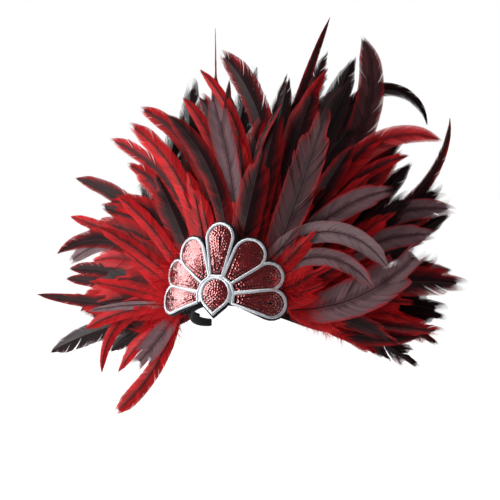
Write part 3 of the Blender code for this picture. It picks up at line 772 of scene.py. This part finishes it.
@dataclass
class FeatherMaker:
    """Draws feathers barb by barb into a pile."""

    fan: Fan
    chance: np.random.Generator

    def clumps(self, count: int, spread: float) -> np.ndarray:
        """One value for each barb, alike within a clump of neighbours.

        Args:
            count: Number of barbs.
            spread: Standard deviation between clumps.

        Returns:
            The values, shaped (count,).
        """
        sizes = self.chance.integers(*self.fan.clump, count)
        owner = np.repeat(np.arange(count), sizes)[:count]
        return self.chance.normal(0, spread, count)[owner]

    def half_width(self, plume: Plume, share: np.ndarray) -> np.ndarray:
        """Half the vane's width at shares of the length, its outline smoothed."""
        fine = np.linspace(0, 1, 121)
        outline = np.interp(fine, STATIONS, plume.tip.value)
        kernel = np.hanning(17)
        padded = np.concatenate([np.zeros(8), outline, np.full(8, outline[-1])])
        smooth = np.convolve(padded, kernel / kernel.sum(), "valid")
        return np.interp(share, fine, smooth) * plume.width * self.fan.fullness * MM / 2

    def draw_vane(self, pile: Pile, quill: Quill, plume: Plume, slot: int, hand: int) -> None:
        """Draws the barbs on one side of the shaft.

        Args:
            pile: Takes the barbs.
            quill: The feather's line.
            plume: The feather.
            slot: Index of the vane's material.
            hand: The side, 1 or -1.
        """
        chance, finish, fan = self.chance, VANES[plume.dye], self.fan
        count = max(fan.least_barbs, int(quill.length / fan.barb_pitch))
        share = np.linspace(fan.barbs_from, fan.barbs_to, count)
        wide = self.half_width(plume, share)
        slope = np.interp(share, (0, 0.5, 1), fan.barb_slopes)
        for _ in range(3):
            wide = self.half_width(plume, np.minimum(1, share + wide * slope / quill.length))
        wide = np.maximum(wide, fan.least_half) * (1 + chance.normal(0, finish.fray * 0.6, count))
        spread = self.clumps(count, finish.fray)
        slope = slope * (1 + spread * fan.barb_split)
        wide = wide * (1 - np.abs(spread) * 0.6)
        lift = self.clumps(count, fan.clump_lift) + chance.normal(0, fan.barb_lift, count)
        closing = np.clip((share - fan.tip_start) / (fan.barbs_to - fan.tip_start), 0, 1)
        narrow = (wide * np.sqrt(1 - 0.98 * closing**2))[:, None]
        thick = BARB_THICK * (share[1] - share[0]) / 2
        share, wide, slope, lift = (each[:, None] for each in (share, wide, slope, lift))
        forward = wide * slope * BARB_STEPS**1.3 / quill.length
        across = narrow * (BARB_STEPS * (1.08 - 0.08 * BARB_STEPS)) * hand
        rise = -finish.cupped * wide * BARB_STEPS**1.6 + lift * wide * BARB_STEPS
        grids, lays = np.empty((count, 4, 2, 3)), np.empty((count, 4, 2, 2))
        for edge, sign in EDGES:
            place = share + forward + thick * sign
            grids[:, :, edge] = quill.at(place, across, rise + sign * fan.barb_apart)
            lays[:, :, edge, 0] = 0.5 + 0.5 * hand * BARB_STEPS
            lays[:, :, edge, 1] = np.clip(place, 0, 1)
        tone = 0.5 + self.clumps(count, fan.tone_stray) + chance.normal(0, fan.tone_stray, count)
        pile.add_grids(grids, slot, lays, np.clip(tone, 0, 1))

    def draw_down(
        self, pile: Pile, quill: Quill, reach: float, length: float, per_mm: float, slot: int
    ) -> None:
        """Draws loose downy strands along the foot of a feather.

        Args:
            pile: Takes the strands.
            quill: The feather's line.
            reach: Share of the line that carries down.
            length: Length of a strand.
            per_mm: Strands to a millimetre of the line.
            slot: Index of the down's material.
        """
        chance = self.chance
        count = int(quill.length * reach / MM * per_mm) + 6
        share = chance.uniform(0.02, reach, count)[:, None]
        hand = chance.choice((-1.0, 1.0), count)[:, None]
        wide = length * chance.uniform(0.5, 1.15, count)[:, None]
        slope = chance.uniform(0.1, 1.7, count)[:, None]
        rise = chance.normal(0.15, 0.5, count)[:, None]
        sweep = chance.normal(0, 0.25, count)[:, None]
        across = wide * hand * (DOWN_STEPS + sweep * DOWN_STEPS**2)
        lift = wide * rise * DOWN_STEPS**1.4
        place = share + wide * slope * DOWN_STEPS**1.2 / quill.length
        grids, lays = np.empty((count, 4, 2, 3)), np.zeros((count, 4, 2, 2))
        for edge, sign in EDGES:
            aside = sign * DOWN_HALF
            grids[:, :, edge] = quill.at(place + aside / quill.length, across, lift + aside * 0.6)
        lays[..., 0] = 0.85
        pile.add_grids(grids, slot, lays, np.clip(chance.normal(0.65, 0.25, count), 0, 1))

    def draw_shaft(self, pile: Pile, quill: Quill, slot: int) -> None:
        """Draws the tapered shaft as a four-sided tube."""
        share = np.linspace(0, 0.99, self.fan.shaft_steps)
        radius = self.fan.shaft_root + (self.fan.shaft_tip - self.fan.shaft_root) * share**0.7
        corners = ((-1, 0), (0, 0.8), (1, 0), (0, -0.8))
        grid = np.stack([quill.at(share, x * radius, y * radius + 0.12 * MM) for x, y in corners], 1)[None]
        lay = np.zeros((*grid.shape[:3], 2))
        lay[..., 1] = share[None, :, None]
        pile.add_grids(grid, slot, lay, closed=True)


@dataclass(frozen=True)
class Filling:
    """A set of filler feathers in a row; share is of the neighbours' length."""

    count: int
    share: float
    longest: float
    width: float
    stray: float
    widest: float
    tip: Tip
    dyes: tuple[Dye, ...]


@dataclass(frozen=True)
class Tufts:
    """The tufts of down beside and above the applique."""

    count: int = 56
    widest: float = 64
    aim_ratio: float = 1.75
    length: float = 58
    width: float = 14
    strand: float = 12 * MM
    per_mm: float = 2.6
    reach: float = 0.92


TUFTS = Tufts()
FILLINGS: dict[Row, Filling] = {
    Row.FRONT: Filling(17, 0.66, 120, 21, 9, 98, Tip.POINT, (Dye.SCARLET, Dye.SCARLET, Dye.STRIPED)),
    Row.SECOND: Filling(20, 0.80, 168, 25, 9, 100, Tip.POINT, (Dye.SCARLET, Dye.EDGED, Dye.STRIPED, Dye.ROSE)),
    Row.THIRD: Filling(
        26, 0.93, 234, 28, 7, 102, Tip.ROUND, (Dye.EDGED, Dye.BLACK, Dye.STRIPED, Dye.EDGED, Dye.WINE)),
    Row.REAR: Filling(24, 0.90, 246, 29, 6, 102, Tip.ROUND, (Dye.BLACK, Dye.EDGED, Dye.BLACK, Dye.EDGED)),
}


class PlumeRow:
    """One row: its feathers, fillers between them, and the tape they are sewn to."""

    tape_half = 1.5 * MM
    tape_steps = 60
    tape_overrun = 3
    # Down at a feather's foot: share of its line, strand length, strands to a millimetre.
    foot_down = (0.22, 13 * MM, 1.3)

    def __init__(self, row: Row, fan: Fan, shop: Workshop):
        self.row = row
        self.fan = fan
        self.shop = shop
        self.chance = np.random.default_rng(SEED + row.stand_off)
        self.dyes = list(Dye)

    def fillers(self, fill: Filling) -> list[Plume]:
        """Shorter feathers between the named ones, so that no gap shows in the fan."""
        chance = self.chance
        named = sorted(PLUMES[self.row], key=lambda plume: plume.root)
        roots = [plume.root for plume in named]
        made = []
        for root in np.linspace(roots[0] + 2, roots[-1] - 2, fill.count):
            root += chance.uniform(-1.5, 1.5)
            aim = float(np.interp(root, roots, [plume.aim for plume in named])) + chance.normal(0, fill.stray)
            aim = max(-fill.widest + 8, min(fill.widest, aim))
            length = float(np.interp(root, roots, [plume.length for plume in named])) * fill.share
            length = min(length, fill.longest) * chance.uniform(0.85, 1.1)
            dye = fill.dyes[int(chance.integers(len(fill.dyes)))]
            bend = float(chance.normal(0, 26)) + (20 if root > 0 else -20)
            made.append(Plume(root, aim, length, fill.width * chance.uniform(0.8, 1.15), bend, dye, fill.tip))
        return made

    def tape(self, pile: Pile, slot: int) -> None:
        """The sewn tape along the feet of the feathers."""
        ring, half = self.fan.ring, self.fan.ring.strip / 2
        roots = [plume.root for plume in PLUMES[self.row]]
        first, last = min(roots) - self.tape_overrun, max(roots) + self.tape_overrun
        grid = np.empty((1, self.tape_steps, 4, 3))
        up = np.array([0, 0, self.tape_half])
        for k, degrees in enumerate(np.linspace(first, last, self.tape_steps)):
            middle = ring.root(self.row, degrees)
            out = ring.outward(math.radians(degrees)) * half
            grid[0, k] = (middle - out - up, middle + out - up, middle + out + up, middle - out + up)
        pile.add_grids(grid, slot, closed=True)

    def build(self) -> bpy.types.Object:
        """Draws the whole row as one piece."""
        finishes = [*(VANES[dye] for dye in self.dyes), SHAFT_DARK, TAPE]
        pile = Pile([self.shop.get(finish) for finish in finishes])
        shaft_slot, tape_slot = finishes.index(SHAFT_DARK), finishes.index(TAPE)
        down_slot = self.dyes.index(Dye.SCARLET)
        maker = FeatherMaker(self.fan, self.chance)
        sets = (
            (PLUMES[self.row], self.fan.twist),
            (self.fillers(FILLINGS[self.row]), self.fan.filler_twist),
        )
        for plumes, twisted in sets:
            for k, plume in enumerate(plumes):
                roll, twist = self.chance.normal(0, self.fan.roll), self.chance.normal(0, twisted)
                quill = Quill(self.fan, self.row, plume, k % 3 - 1, roll, twist)
                for hand in (-1, 1):
                    maker.draw_vane(pile, quill, plume, self.dyes.index(plume.dye), hand)
                maker.draw_shaft(pile, quill, shaft_slot)
                if self.row in (Row.FRONT, Row.SECOND):
                    maker.draw_down(pile, quill, *self.foot_down, down_slot)
        if self.row is Row.FRONT:
            self.tufts(pile, maker, down_slot)
        self.tape(pile, tape_slot)
        return settle(pile.build(self.row.node.replace("row", "feathers")), self.row.slot, self.row.node)

    def tufts(self, pile: Pile, maker: FeatherMaker, slot: int) -> None:
        """The down that stands round the applique."""
        chance = self.chance
        for degrees in np.linspace(-TUFTS.widest, TUFTS.widest, TUFTS.count):
            degrees += chance.normal(0, 1.5)
            aim = degrees * TUFTS.aim_ratio + chance.normal(0, 9)
            length = TUFTS.length * chance.uniform(0.7, 1.15)
            plume = Plume(degrees, aim, length, TUFTS.width, chance.normal(0, 25), Dye.SCARLET, Tip.SPEAR)
            quill = Quill(self.fan, self.row, plume, int(chance.integers(-1, 2)), chance.normal(0, 0.3), 0.0)
            maker.draw_down(pile, quill, TUFTS.reach, TUFTS.strand, TUFTS.per_mm, slot)


@dataclass(frozen=True)
class Brow:
    """Wraps flat places round the brow: x across, depth towards the head, z up."""

    radius: float = 130 * MM
    front: float = 122.1 * MM
    tilt: float = math.radians(11)

    def wrap(self, x: np.ndarray, depth: np.ndarray, z: np.ndarray) -> np.ndarray:
        """Points on or near the curved plate."""
        angle, radius = x / self.radius, self.radius - depth
        y = self.radius - radius * np.cos(angle)
        turned = (radius * np.sin(angle), y * math.cos(self.tilt) + z * math.sin(self.tilt) - self.front,
                  z * math.cos(self.tilt) - y * math.sin(self.tilt))
        return np.stack(turned, -1)


@dataclass(frozen=True)
class Petal:
    """A petal of the fan: angle from the top, cap distance and radius."""

    name: str
    angle: float
    distance: float
    radius: float
    foot: float


@dataclass(frozen=True)
class AppliqueSizes:
    """Named sizes of the fan-shaped applique."""

    focus_up: float = 24 * MM
    backing: float = 2.0 * MM
    gap: float = 0.35 * MM
    border: float = 2.0 * MM
    felt_rim: float = 2.0 * MM
    border_width: float = 3.6 * MM
    arch_up: float = 3 * MM
    arch_radius: float = 16 * MM
    point_down: float = 23 * MM
    point_growth: float = 1.4
    field_inner: float = 24.5 * MM
    sequin_pitch: float = 3.4 * MM
    sequin_radius: float = 1.72 * MM
    sequin_dip: float = 0.7 * MM
    sequin_depth: float = 1.2 * MM
    sequin_stray: float = 0.06
    least_ring: float = 0.6 * MM
    belly: float = 9.0
    thread_high: float = 0.95 * MM
    stitch_pitch: float = 0.9 * MM
    stitch_sides: int = 9

    def insets(self, room: float) -> list[float]:
        """How far inside an edge each ring of sequins lies, down to the least ring."""
        inset, found = self.sequin_radius * 1.02, []
        while room - inset > self.least_ring:
            found.append(inset)
            inset += self.sequin_pitch * 0.94
        return found


PETALS = tuple(
    Petal(name + side, angle * sign, distance * MM, radius * MM, foot * MM)
    for name, angle, distance, radius, foot, sides in (
        ("top", 0, 67, 20.0, 5.6, (("", 1),)),
        ("upper", 37, 61, 21.5, 4.4, (("_left", 1), ("_right", -1))),
        ("mid", 67, 66, 19.0, 4.4, (("_left", 1), ("_right", -1))),
        ("low", 94, 66, 19.5, 4.6, (("_left", 1), ("_right", -1))),
    )
    for side, sign in sides
)


class Outline:
    """Closed outlines of the petals and of the arch, drawn smoothly."""

    def __init__(self, sizes: AppliqueSizes, steps: int = 48):
        self.sizes = sizes
        self.steps = steps

    def petal(self, petal: Petal, radius: float, inner: float, inner_half: float) -> np.ndarray:
        """A round cap joined by straight sides to a blunt inner end."""
        angle = math.radians(petal.angle)
        axis = np.array([math.sin(angle), math.cos(angle)])
        side = np.array([axis[1], -axis[0]])
        focus = np.array([0, self.sizes.focus_up])
        cap, foot = focus + axis * petal.distance, focus + axis * inner
        slope = math.asin((radius - inner_half) / (petal.distance - inner))
        turn = -slope + (math.pi + 2 * slope) * np.linspace(0, 1, self.steps)[:, None]
        corners = cap + (side * np.cos(turn) + axis * np.sin(turn)) * radius
        return np.concatenate([[foot - side * inner_half, foot + side * inner_half], corners])

    def arch(self, radius: float, point_down: float) -> np.ndarray:
        """The small arch at the foot of the fan, with its point on the brow."""
        centre = np.array([0, self.sizes.focus_up + self.sizes.arch_up])
        reach = point_down + self.sizes.arch_up
        slope = math.asin(radius / reach)
        turn = -slope + (math.pi + 2 * slope) * np.linspace(0, 1, self.steps)[:, None]
        corners = centre + np.concatenate([np.cos(turn), np.sin(turn)], 1) * radius
        return np.concatenate([[centre - (0, reach)], corners])

    @staticmethod
    def walk(outline: np.ndarray, pitch: float) -> np.ndarray:
        """Points at an even pitch round a closed outline."""
        loop = np.concatenate([outline, outline[:1]])
        run = np.concatenate([[0], np.cumsum(np.linalg.norm(np.diff(loop, axis=0), axis=1))])
        count = max(3, round(run[-1] / pitch))
        places = np.arange(count) * run[-1] / count
        return np.stack([np.interp(places, run, loop[:, k]) for k in (0, 1)], 1)


class SequinField:
    """Rows of cup sequins that follow one petal's outline inwards."""

    # Share of a cup's radius, and its dip there.
    profile = ((1.0, 0.0), (0.74, -0.06), (0.47, -0.16), (0.44, -0.18))
    sides = 10

    def __init__(self, name: str, sizes: AppliqueSizes, brow: Brow, shop: Workshop):
        self.name = name
        self.sizes = sizes
        self.brow = brow
        self.shop = shop
        self.chance = np.random.default_rng(SEED + len(name) + ord(name[-1]))

    def build(self, rings: list[np.ndarray]) -> bpy.types.Object:
        """Draws the cups and the dark dishes in their holes as one piece; the dishes carry painted shade.

        Args:
            rings: The closed lines that the sequins are sewn along.

        Returns:
            The piece.
        """
        sizes, chance, tilt = self.sizes, self.chance, self.brow.tilt
        middles = np.concatenate([Outline.walk(ring, sizes.sequin_pitch) for ring in rings])
        count = len(middles)
        depth = np.full(count, -(sizes.backing + sizes.gap + sizes.sequin_depth))
        angle = middles[:, 0] / self.brow.radius
        across = np.stack([np.cos(angle), np.sin(angle) * math.cos(tilt), -np.sin(angle) * math.sin(tilt)], 1)
        upward = np.tile([0, math.sin(tilt), math.cos(tilt)], (count, 1))
        outward = np.cross(across, upward)
        belly = (middles - middles.mean(0)) * sizes.belly
        across = across + outward * (chance.normal(0, sizes.sequin_stray, (count, 1)) - belly[:, :1])
        upward = upward + outward * (chance.normal(0, sizes.sequin_stray, (count, 1)) - belly[:, 1:])
        centre = self.brow.wrap(middles[:, 0], depth, middles[:, 1])
        grid = np.empty((count, len(self.profile), self.sides, 3))
        for k, (share, dip) in enumerate(self.profile):
            for m, turn in enumerate(np.linspace(0, 2 * math.pi, self.sides + 1)[:-1]):
                step = across * math.cos(turn) + upward * math.sin(turn)
                grid[:, k, m] = centre + step * sizes.sequin_radius * share + outward * sizes.sequin_dip * dip
        pile = Pile([self.shop.get(SEQUINS), self.shop.get(HOLE_SHADE)])
        shades = np.clip(chance.normal(0.5, 0.22, count), 0, 1)
        pile.add_grids(grid, 0, shades=shades, closed=True)
        # Each hole is closed by a dark dish, the painted shade of the hole and of the felt below it.
        floor = grid[:, 3] * 0.5 + centre[:, None] * 0.5 - outward[:, None] * sizes.sequin_dip * 0.3
        hole = np.stack([grid[:, 3], floor, floor * 0.1 + floor.mean(1)[:, None] * 0.9], 1)
        pile.add_grids(hole, 1, shades=shades, closed=True)
        return settle(pile.build(self.name + "_cups"), "sequin_red", self.name)


@dataclass
class Applique:
    """Felt plate, stitched border and sequin fields."""

    sizes: AppliqueSizes
    brow: Brow
    shop: Workshop

    def __post_init__(self) -> None:
        self.outline = Outline(self.sizes)

    def stitched(self, pile: Pile, outline: np.ndarray, half: float) -> None:
        """A padded band of satin stitch along a closed outline."""
        sizes = self.sizes
        points = Outline.walk(outline, sizes.stitch_pitch)
        ahead, behind = np.roll(points, -1, 0), np.roll(points, 1, 0)
        tangent = (ahead - behind) / np.linalg.norm(ahead - behind, axis=1)[:, None]
        normal = np.stack([-tangent[:, 1], tangent[:, 0]], 1)
        run = np.concatenate([[0], np.cumsum(np.linalg.norm(np.diff(points, axis=0), axis=1))])
        base = -(sizes.backing + sizes.gap)
        count = len(points)
        grid = np.empty((1, count + 1, sizes.stitch_sides, 3))
        lays = np.zeros((1, count + 1, sizes.stitch_sides, 2))
        for k, turn in enumerate(np.linspace(0, math.pi, sizes.stitch_sides)):
            wide, high = math.cos(turn), math.sin(turn)
            place = points + normal * wide * half
            depth = np.full(count, base - sizes.border * 0.7 - high * sizes.thread_high * 0.9)
            line = self.brow.wrap(place[:, 0], depth, place[:, 1])
            grid[0, :-1, k], grid[0, -1, k] = line, line[0]
            lays[0, :, k, 0] = (wide + 1) / 2
            lays[0, :, k, 1] = np.append(run, run[-1] + sizes.stitch_pitch) * 100
        pile.add_grids(grid, 0, lays, np.array([0.6]))

    def fields(self) -> list[tuple[str, list[np.ndarray]]]:
        """Each field's name and its rings of sequins, from the edge inwards."""
        sizes, found = self.sizes, []
        for petal in PETALS:
            full = petal.radius - sizes.felt_rim - sizes.border_width
            rings = []
            for inset in sizes.insets(full):
                inner, foot = sizes.field_inner + inset * 1.6, max(0.05 * MM, petal.foot - inset)
                rings.append(self.outline.petal(petal, full - inset, inner, foot))
            found.append((f"sequins_{petal.name}", rings))
        rings, radius = [], sizes.arch_radius
        reach = sizes.point_down - sizes.border_width * sizes.point_growth + sizes.arch_up
        for inset in sizes.insets(radius):
            share = 1 - inset / radius
            rings.append(self.outline.arch(radius * share, reach * share - sizes.arch_up))
        found.append(("sequins_arch", rings))
        return found

    def border(self) -> bpy.types.Object:
        """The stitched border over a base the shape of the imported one."""
        sizes, outline = self.sizes, self.outline
        pile = Pile([self.shop.get(SATIN)])
        half = sizes.border_width / 2
        for petal in PETALS:
            middle = petal.radius - sizes.felt_rim - half
            self.stitched(pile, outline.petal(petal, middle, sizes.field_inner - half, petal.foot + half), half)
        arch = outline.arch(sizes.arch_radius + half, sizes.point_down - half * sizes.point_growth)
        self.stitched(pile, arch, half)
        made = pile.build("stitched_border")
        tool = bmesh.new()
        tool.from_mesh(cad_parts["applique_border"].data)
        lay = tool.loops.layers.uv.new("Lay")
        for face in tool.faces:
            face.material_index = 0
            for loop in face.loops:
                loop[lay].uv = (0.5, (loop.vert.co.x + loop.vert.co.z) * 100)
        tool.from_mesh(made.data)
        tool.to_mesh(made.data)
        tool.free()
        return settle(made, "embroidery_silver", "applique_border")

    def backing(self) -> bpy.types.Object:
        """The felt plate with softly rounded edges."""
        tool = bmesh.new()
        tool.from_mesh(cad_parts["applique_backing"].data)
        bmesh.ops.remove_doubles(tool, verts=tool.verts, dist=0.02 * MM)
        least = math.radians(50)
        sharp = [e for e in tool.edges if len(e.link_faces) == 2 and e.calc_face_angle(0) > least]
        bmesh.ops.bevel(tool, geom=sharp, offset=0.5 * MM, offset_type="OFFSET", segments=2, profile=0.5,
                        affect="EDGES", material=-1, clamp_overlap=True)
        mesh = bpy.data.meshes.new("felt_backing")
        tool.to_mesh(mesh)
        tool.free()
        mesh.materials.clear()
        mesh.materials.append(self.shop.get(FELT))
        return settle(link("felt_backing", mesh), "felt_black", "applique_backing")

    def build(self) -> None:
        """Draws the whole applique."""
        self.backing()
        self.border()
        for name, rings in self.fields():
            SequinField(name, self.sizes, self.brow, self.shop).build(rings)


@dataclass(frozen=True)
class BandSizes:
    """The covered band over the forehead."""

    rim: float = -2.4 * MM
    front_high: float = 13 * MM
    end_high: float = 9 * MM
    reach: float = 102.0
    steps: int = 120
    sides: int = 16
    end_taper: float = 0.02


@dataclass
class HeadBand:
    """The stiff band, covered with ribbon and rounded at its edges."""

    ring: HeadRing
    sizes: BandSizes
    shop: Workshop

    def build(self) -> bpy.types.Object:
        """Sweeps a rounded section round the head."""
        ring, sizes = self.ring, self.sizes
        half, sides = ring.wall / 2, sizes.sides
        section = [(math.cos(turn), math.sin(turn)) for turn in np.linspace(0, 2 * math.pi, sides + 1)[:-1]]
        grid = np.empty((1, sizes.steps + 1, sides, 3))
        lays = np.zeros((1, sizes.steps + 1, sides, 2))
        for step in range(sizes.steps + 1):
            share = 2 * step / sizes.steps - 1
            angle = math.radians(sizes.reach) * share
            top = ring.height(angle) + sizes.rim
            high = sizes.front_high + (sizes.end_high - sizes.front_high) * share**4
            close = min(1.0, (1 - abs(share)) / sizes.end_taper + 0.25)
            for k, (out, up) in enumerate(section):
                flat = math.copysign(min(1.0, abs(up) * 1.25), up)
                level = top - high / 2 + (flat * (high / 2 - half) + up * half) * (0.8 + 0.2 * close)
                thick = half + half * math.copysign(min(1, abs(out) * 1.6), out) * close
                grid[0, step, k] = ring.point(angle, thick, level)
                lays[0, step, k] = (k / sides, angle * ring.half_width * 100)
        pile = Pile([self.shop.get(BAND_CLOTH)])
        pile.add_grids(grid, 0, lays, closed=True)
        for end in (0, -1):
            cap = np.stack([grid[:, end], np.repeat(grid[:, end].mean(1)[:, None], sides, 1)], 1)
            pile.add_grids(cap, 0, closed=True)
        return settle(pile.build("covered_band"), "band_fabric", "head_band")


def outlook(azimuth: float, elevation: float) -> Vector:
    """Unit vector out from the headdress; azimuth from its front to the wearer's left."""
    a, e = math.radians(azimuth), math.radians(elevation)
    return Vector((math.sin(a) * math.cos(e), -math.cos(a) * math.cos(e), math.sin(e)))


def stand_off(made: bpy.types.Object, aim: Vector, back: Vector, distance: float) -> None:
    """Stands a light or the camera away from its aim and turns it there."""
    made.location = aim + back * distance
    made.rotation_mode = "QUATERNION"
    made.rotation_quaternion = back.to_track_quat("Z", "Y")


@dataclass(frozen=True)
class Softbox:
    """One area light: angles in degrees, sizes in metres, power in watts."""

    name: str
    azimuth: float
    elevation: float
    distance: float
    wide: float
    high: float
    power: float

    def build(self, aim: Vector) -> None:
        """Places the light so that it points at the headdress."""
        light = bpy.data.lights.new(self.name, "AREA")
        light.shape = "RECTANGLE"
        light.size, light.size_y = self.wide, self.high
        light.energy = self.power
        stand_off(link(self.name, light), aim, outlook(self.azimuth, self.elevation), self.distance)


@dataclass(frozen=True)
class Studio:
    """Wide pale floor, soft lights, bright surroundings and the camera."""

    azimuth: float = 27.0
    elevation: float = 3.0
    distance: float = 2.2
    lens: float = 132.0
    sensor: float = 36.0
    shift_right: float = -14.4 * MM
    shift_up: float = 70.8 * MM
    aim_up: float = 0.07
    floor_level: float = -0.24
    floor_half: float = 14.0
    floor_tone: float = 0.62
    world: float = 0.10
    paper_glow: float = 0.97
    front_glow: float = 0.15
    glow_from: float = -0.6
    glow_to: float = 0.4

    def lights(self) -> tuple[Softbox, ...]:
        """The softboxes round the headdress."""
        return (
            Softbox("key_left", -66, 16, 1.5, 1.7, 0.95, 37),
            Softbox("fill_right", 75, 20, 1.7, 1.0, 1.0, 3.0),
            Softbox("top", 10, 75, 1.5, 1.0, 1.0, 6),
            Softbox("rim_back", 200, 40, 1.6, 0.8, 0.8, 6),
        )

    def floor(self) -> bpy.types.Object:
        """A wide pale floor that glows behind the headdress and is plain in front of it."""
        tool = bmesh.new()
        bmesh.ops.create_grid(tool, x_segments=1, y_segments=1, size=self.floor_half)
        mesh = bpy.data.meshes.new("studio_floor")
        tool.to_mesh(mesh)
        tool.free()
        material, n, shader = new_material("studio_paper")
        split = n.add("ShaderNodeSeparateXYZ")
        n.feed(split.inputs[0], n.add("ShaderNodeTexCoord").outputs["Object"])
        behind = n.ramp(split.outputs[1], self.glow_from, self.glow_to)
        glow = n.calc("ADD", self.front_glow, n.calc("MULTIPLY", behind, self.paper_glow - self.front_glow))
        n.fill(shader, Emission_Strength=glow, Emission_Color=WHITE)
        n.fill(shader, Base_Color=(self.floor_tone,) * 3, Roughness=0.9)
        mesh.materials.append(material)
        made = link("studio_floor", mesh)
        made.location = (0, 0, self.floor_level)
        made.rotation_euler = (0, 0, math.radians(self.azimuth))
        return made

    def surroundings(self) -> None:
        """Dim light all round, seen by the camera as white."""
        world = bpy.data.worlds.new("studio")
        bpy.context.scene.world = world
        world.use_nodes = True
        n = Nodes(world.node_tree)
        seen = n.add("ShaderNodeLightPath").outputs["Is Camera Ray"]
        strength = n.calc("ADD", self.world, n.calc("MULTIPLY", seen, 1 - self.world))
        n.fill(world.node_tree.nodes["Background"], Strength=strength, Color=WHITE)

    def camera(self) -> None:
        """The camera at the photograph's angle."""
        back = outlook(self.azimuth, self.elevation)
        turn = math.radians(self.azimuth)
        right = Vector((math.cos(turn), math.sin(turn), 0))
        aim = right * self.shift_right + back.cross(right) * self.shift_up
        data = bpy.data.cameras.new("camera")
        data.lens = self.lens
        data.sensor_width = self.sensor
        made = link("camera", data)
        stand_off(made, aim, back, self.distance)
        bpy.context.scene.camera = made

    def build(self) -> None:
        """Sets up floor, lights, world and camera."""
        self.floor()
        for light in self.lights():
            light.build(Vector((0, 0, self.aim_up)))
        self.surroundings()
        bpy.context.scene.view_settings.view_transform = "Standard"
        self.camera()


class Headdress:
    """The whole headdress, dressed piece by piece."""

    def __init__(self) -> None:
        self.shop = Workshop()
        self.fan = Fan()

    def build(self) -> None:
        """Builds the rows, the applique and the band."""
        for row in Row:
            PlumeRow(row, self.fan, self.shop).build()
        Applique(AppliqueSizes(), Brow(), self.shop).build()
        HeadBand(self.fan.ring, BandSizes(), self.shop).build()


def main() -> None:
    """Builds the headdress and the studio."""
    logging.basicConfig(level=logging.INFO, format="%(name)s: %(message)s")
    Headdress().build()
    Studio().build()
    bpy.context.view_layer.update()


if __name__ == "__main__":
    main()
